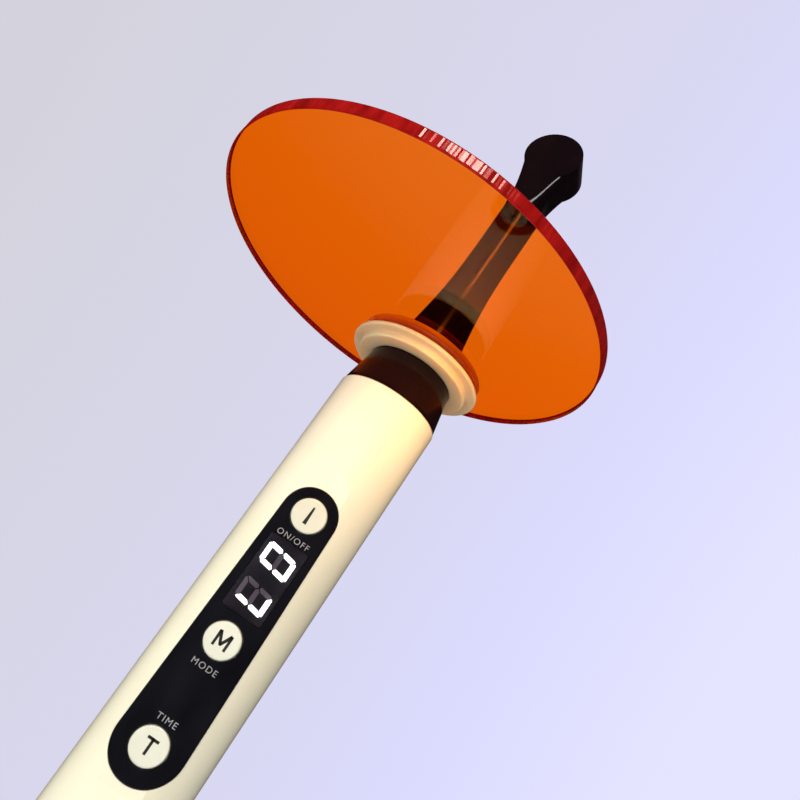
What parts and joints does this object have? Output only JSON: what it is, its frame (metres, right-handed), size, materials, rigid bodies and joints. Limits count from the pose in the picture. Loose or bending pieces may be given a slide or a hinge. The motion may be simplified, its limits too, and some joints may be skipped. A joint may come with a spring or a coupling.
{
  "type": "dental curing light",
  "caption": "Cordless pen-shaped dental curing light with a button panel and digit display, a turning angled light head and an eccentric orange eye shield on a soft grommet.",
  "frame": {"origin": "centre of the tail's end face, on the handle's axis", "axes": "+Z along the handle towards the light head; the control panel faces -Y; +X to the right of the panel"},
  "size_m": [0.09, 0.0901, 0.26],
  "materials": {
    "ivory_shell": "glossy moulded ivory plastic",
    "black_panel": "high gloss black",
    "smoked_window": "smoked clear plastic",
    "black_plastic": "matt black",
    "lit_segments": "lit white",
    "dark_segments": "unlit diffuser",
    "ivory_button": "satin ivory",
    "circuit_board": "green solder mask",
    "component_black": "moulded component bodies",
    "steel": "bright",
    "chassis_plastic": "natural",
    "cell_sleeve": "shrink sleeve",
    "nickel": "nickel plate",
    "seal_rubber": "satin",
    "gold_contact": "gold plate",
    "plunger_plastic": "moulded",
    "bush_plastic": "acetal",
    "black_gloss": "polished black",
    "aluminium_core": "white coated",
    "led_yellow": "clear over yellow",
    "bright_metal": "mirror",
    "clear_lens": "clear",
    "wire_insulation": "silicone insulation",
    "milky_silicone": "translucent milky silicone",
    "orange_acrylic": "transparent orange acrylic"
  },
  "bodies": {
    "handle": {"handle_shell": "ivory_shell", "tail_cap": "ivory_shell", "control_panel": "black_panel", "display_window": "smoked_window", "display_module": "black_plastic", "lit_segments": "lit_segments", "dark_segments": "dark_segments", "power_switch": "black_plastic", "mode_switch": "black_plastic", "time_switch": "black_plastic", "main_board": "circuit_board", "charge_board": "circuit_board", "board_components": "component_black", "buzzer": "component_black", "board_screws": "steel", "chassis": "chassis_plastic", "battery_cell": "cell_sleeve", "battery_terminal": "nickel", "battery_spring": "steel", "tail_seal": "seal_rubber", "contact_insert": "black_plastic", "charge_ring": "gold_contact", "charge_pin": "gold_contact", "swivel_bush": "bush_plastic", "jack_socket": "black_plastic"},
    "head": {"swivel_collar": "black_gloss", "retaining_clip": "steel", "friction_ring": "seal_rubber", "jack_plug": "nickel", "neck_tube": "black_gloss", "head_housing": "black_gloss", "led_board": "aluminium_core", "led_chip": "led_yellow", "reflector": "bright_metal", "lens": "clear_lens", "lens_bezel": "black_gloss", "lamp_wires": "wire_insulation"},
    "grommet": {"grommet": "milky_silicone"},
    "shield": {"shield_disc": "orange_acrylic"},
    "power_button": {"power_button": "ivory_button", "power_plunger": "plunger_plastic"},
    "mode_button": {"mode_button": "ivory_button", "mode_plunger": "plunger_plastic"},
    "time_button": {"time_button": "ivory_button", "time_plunger": "plunger_plastic"}
  },
  "joints": [
    {"name": "head_turn", "type": "hinge", "parent": "handle", "child": "head", "pos_m": [0, 0, 0.16], "axis": [0, 0, 1], "continuous": true},
    {"name": "shield_slide", "type": "slide", "parent": "head", "child": "grommet", "axis": [0, 0, 1], "range_m": [0, 0.045]},
    {"name": "shield_turn", "type": "hinge", "parent": "grommet", "child": "shield", "pos_m": [0, 0, 0.1811], "axis": [-0.0109, 0.0512, 0.9986], "continuous": true},
    {"name": "power_press", "type": "slide", "parent": "handle", "child": "power_button", "axis": [0, 1, 0], "range_m": [0, 0.0005], "stiffness_N_per_m": 800, "springref_m": -0.0005},
    {"name": "mode_press", "type": "slide", "parent": "handle", "child": "mode_button", "axis": [0, 1, 0], "range_m": [0, 0.0005], "stiffness_N_per_m": 800, "springref_m": -0.0005},
    {"name": "time_press", "type": "slide", "parent": "handle", "child": "time_button", "axis": [0, 1, 0], "range_m": [0, 0.0005], "stiffness_N_per_m": 800, "springref_m": -0.0005}
  ]
}
